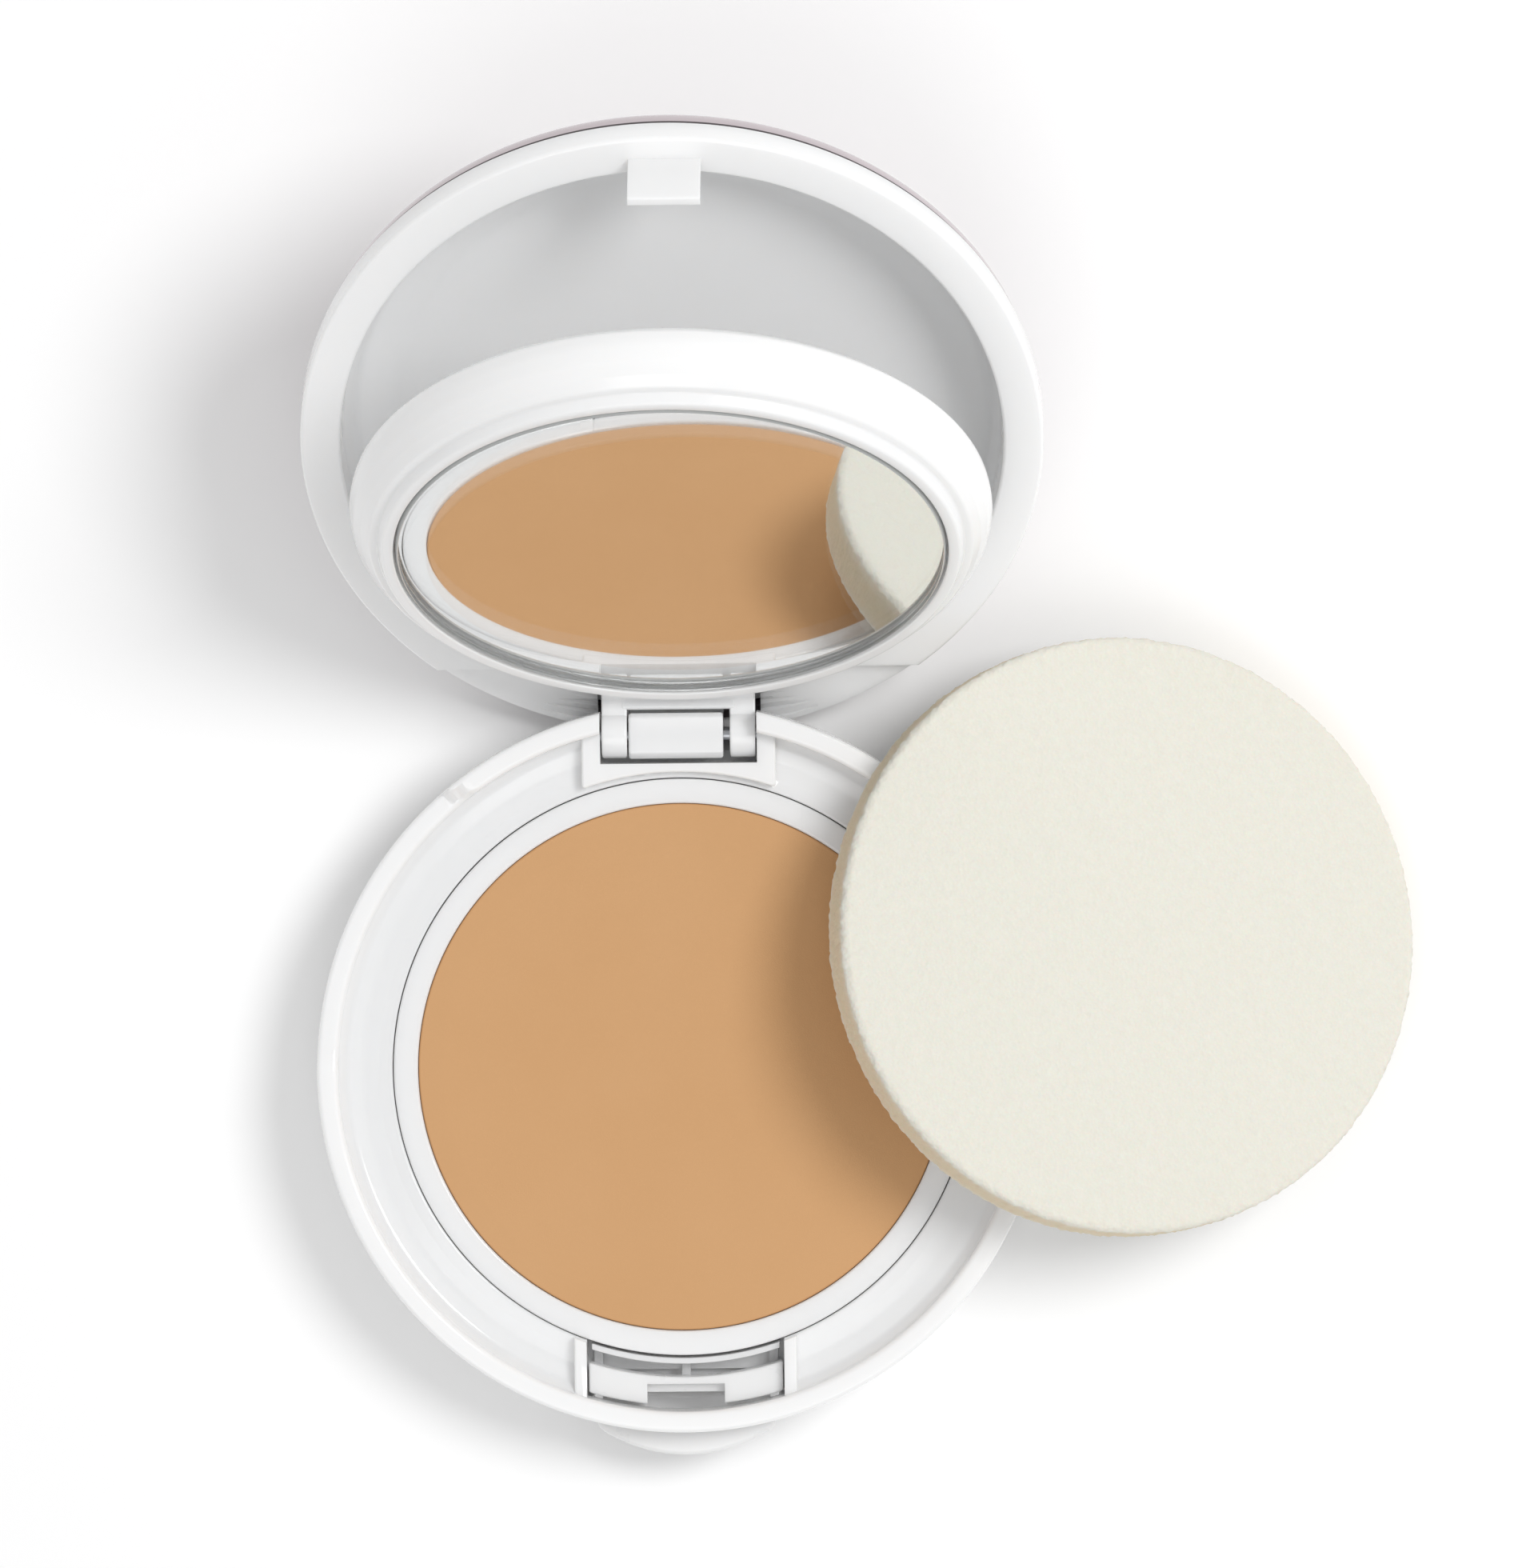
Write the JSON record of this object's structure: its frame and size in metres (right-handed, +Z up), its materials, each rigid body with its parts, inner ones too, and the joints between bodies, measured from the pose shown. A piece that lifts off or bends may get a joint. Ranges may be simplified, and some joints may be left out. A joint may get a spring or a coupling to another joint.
{
  "type": "powder compact",
  "caption": "Open round powder compact: base with pressed make-up pan and push latch, mirror flap, domed lid on one hinge pin, and a round sponge leaning on the rim.",
  "frame": {"origin": "centre of the base, on the flat underside", "axes": "+Z up, +Y towards the hinge, +X to the right seen from the latch"},
  "size_m": [0.1141, 0.1391, 0.0626],
  "materials": {
    "white_plastic": "polished moulding",
    "lid_shell": "pearl grey-mauve, polished moulding",
    "makeup": "pressed powder, matte",
    "pan": "pressed sheet",
    "pin": "drawn wire",
    "mirror_glass": "clear float glass, ground edge",
    "mirror_back": "silvered",
    "adhesive": "double-sided foam tape",
    "label": "plain coated paper",
    "sponge_foam": "fine-celled latex foam with a flocked face"
  },
  "bodies": {
    "base": {"base_shell": "white_plastic", "base_tray": "white_plastic", "pan_holder": "white_plastic", "makeup_pan": "pan", "pan_adhesive": "adhesive", "makeup_cake": "makeup", "hinge_pin": "pin", "base_label": "label", "button_spring": "white_plastic"},
    "button": {"latch_button": "white_plastic"},
    "lid": {"lid_inner": "white_plastic", "lid_cover": "lid_shell"},
    "flap": {"flap_frame": "white_plastic", "mirror_glass": "mirror_glass", "mirror_silver": "mirror_back", "mirror_tape": "adhesive"},
    "sponge": {"sponge": "sponge_foam"}
  },
  "joints": [
    {"name": "lid_hinge", "type": "hinge", "parent": "base", "child": "lid", "pos_m": [0, 0.0346, 0.009], "axis": [1, 0, 0], "range_deg": [0, 144.8]},
    {"name": "flap_hinge", "type": "hinge", "parent": "base", "child": "flap", "pos_m": [0, 0.0346, 0.009], "axis": [1, 0, 0], "range_deg": [0, 122]},
    {"name": "button_press", "type": "slide", "parent": "base", "child": "button", "axis": [0, 1, 0], "range_m": [0, 0.001], "stiffness_N_per_m": 800},
    {"name": "sponge_turn", "type": "hinge", "parent": "base", "child": "sponge", "pos_m": [0.0713, 0.028, 0.003], "axis": [-0.5, 0.866, 0], "range_deg": [0, 161.3]}
  ],
  "couplings": [
    {"joint": "flap_hinge", "follows": "lid_hinge", "ratio": 0.8425},
    {"joint": "sponge_turn", "follows": "lid_hinge", "ratio": 1.1135}
  ]
}
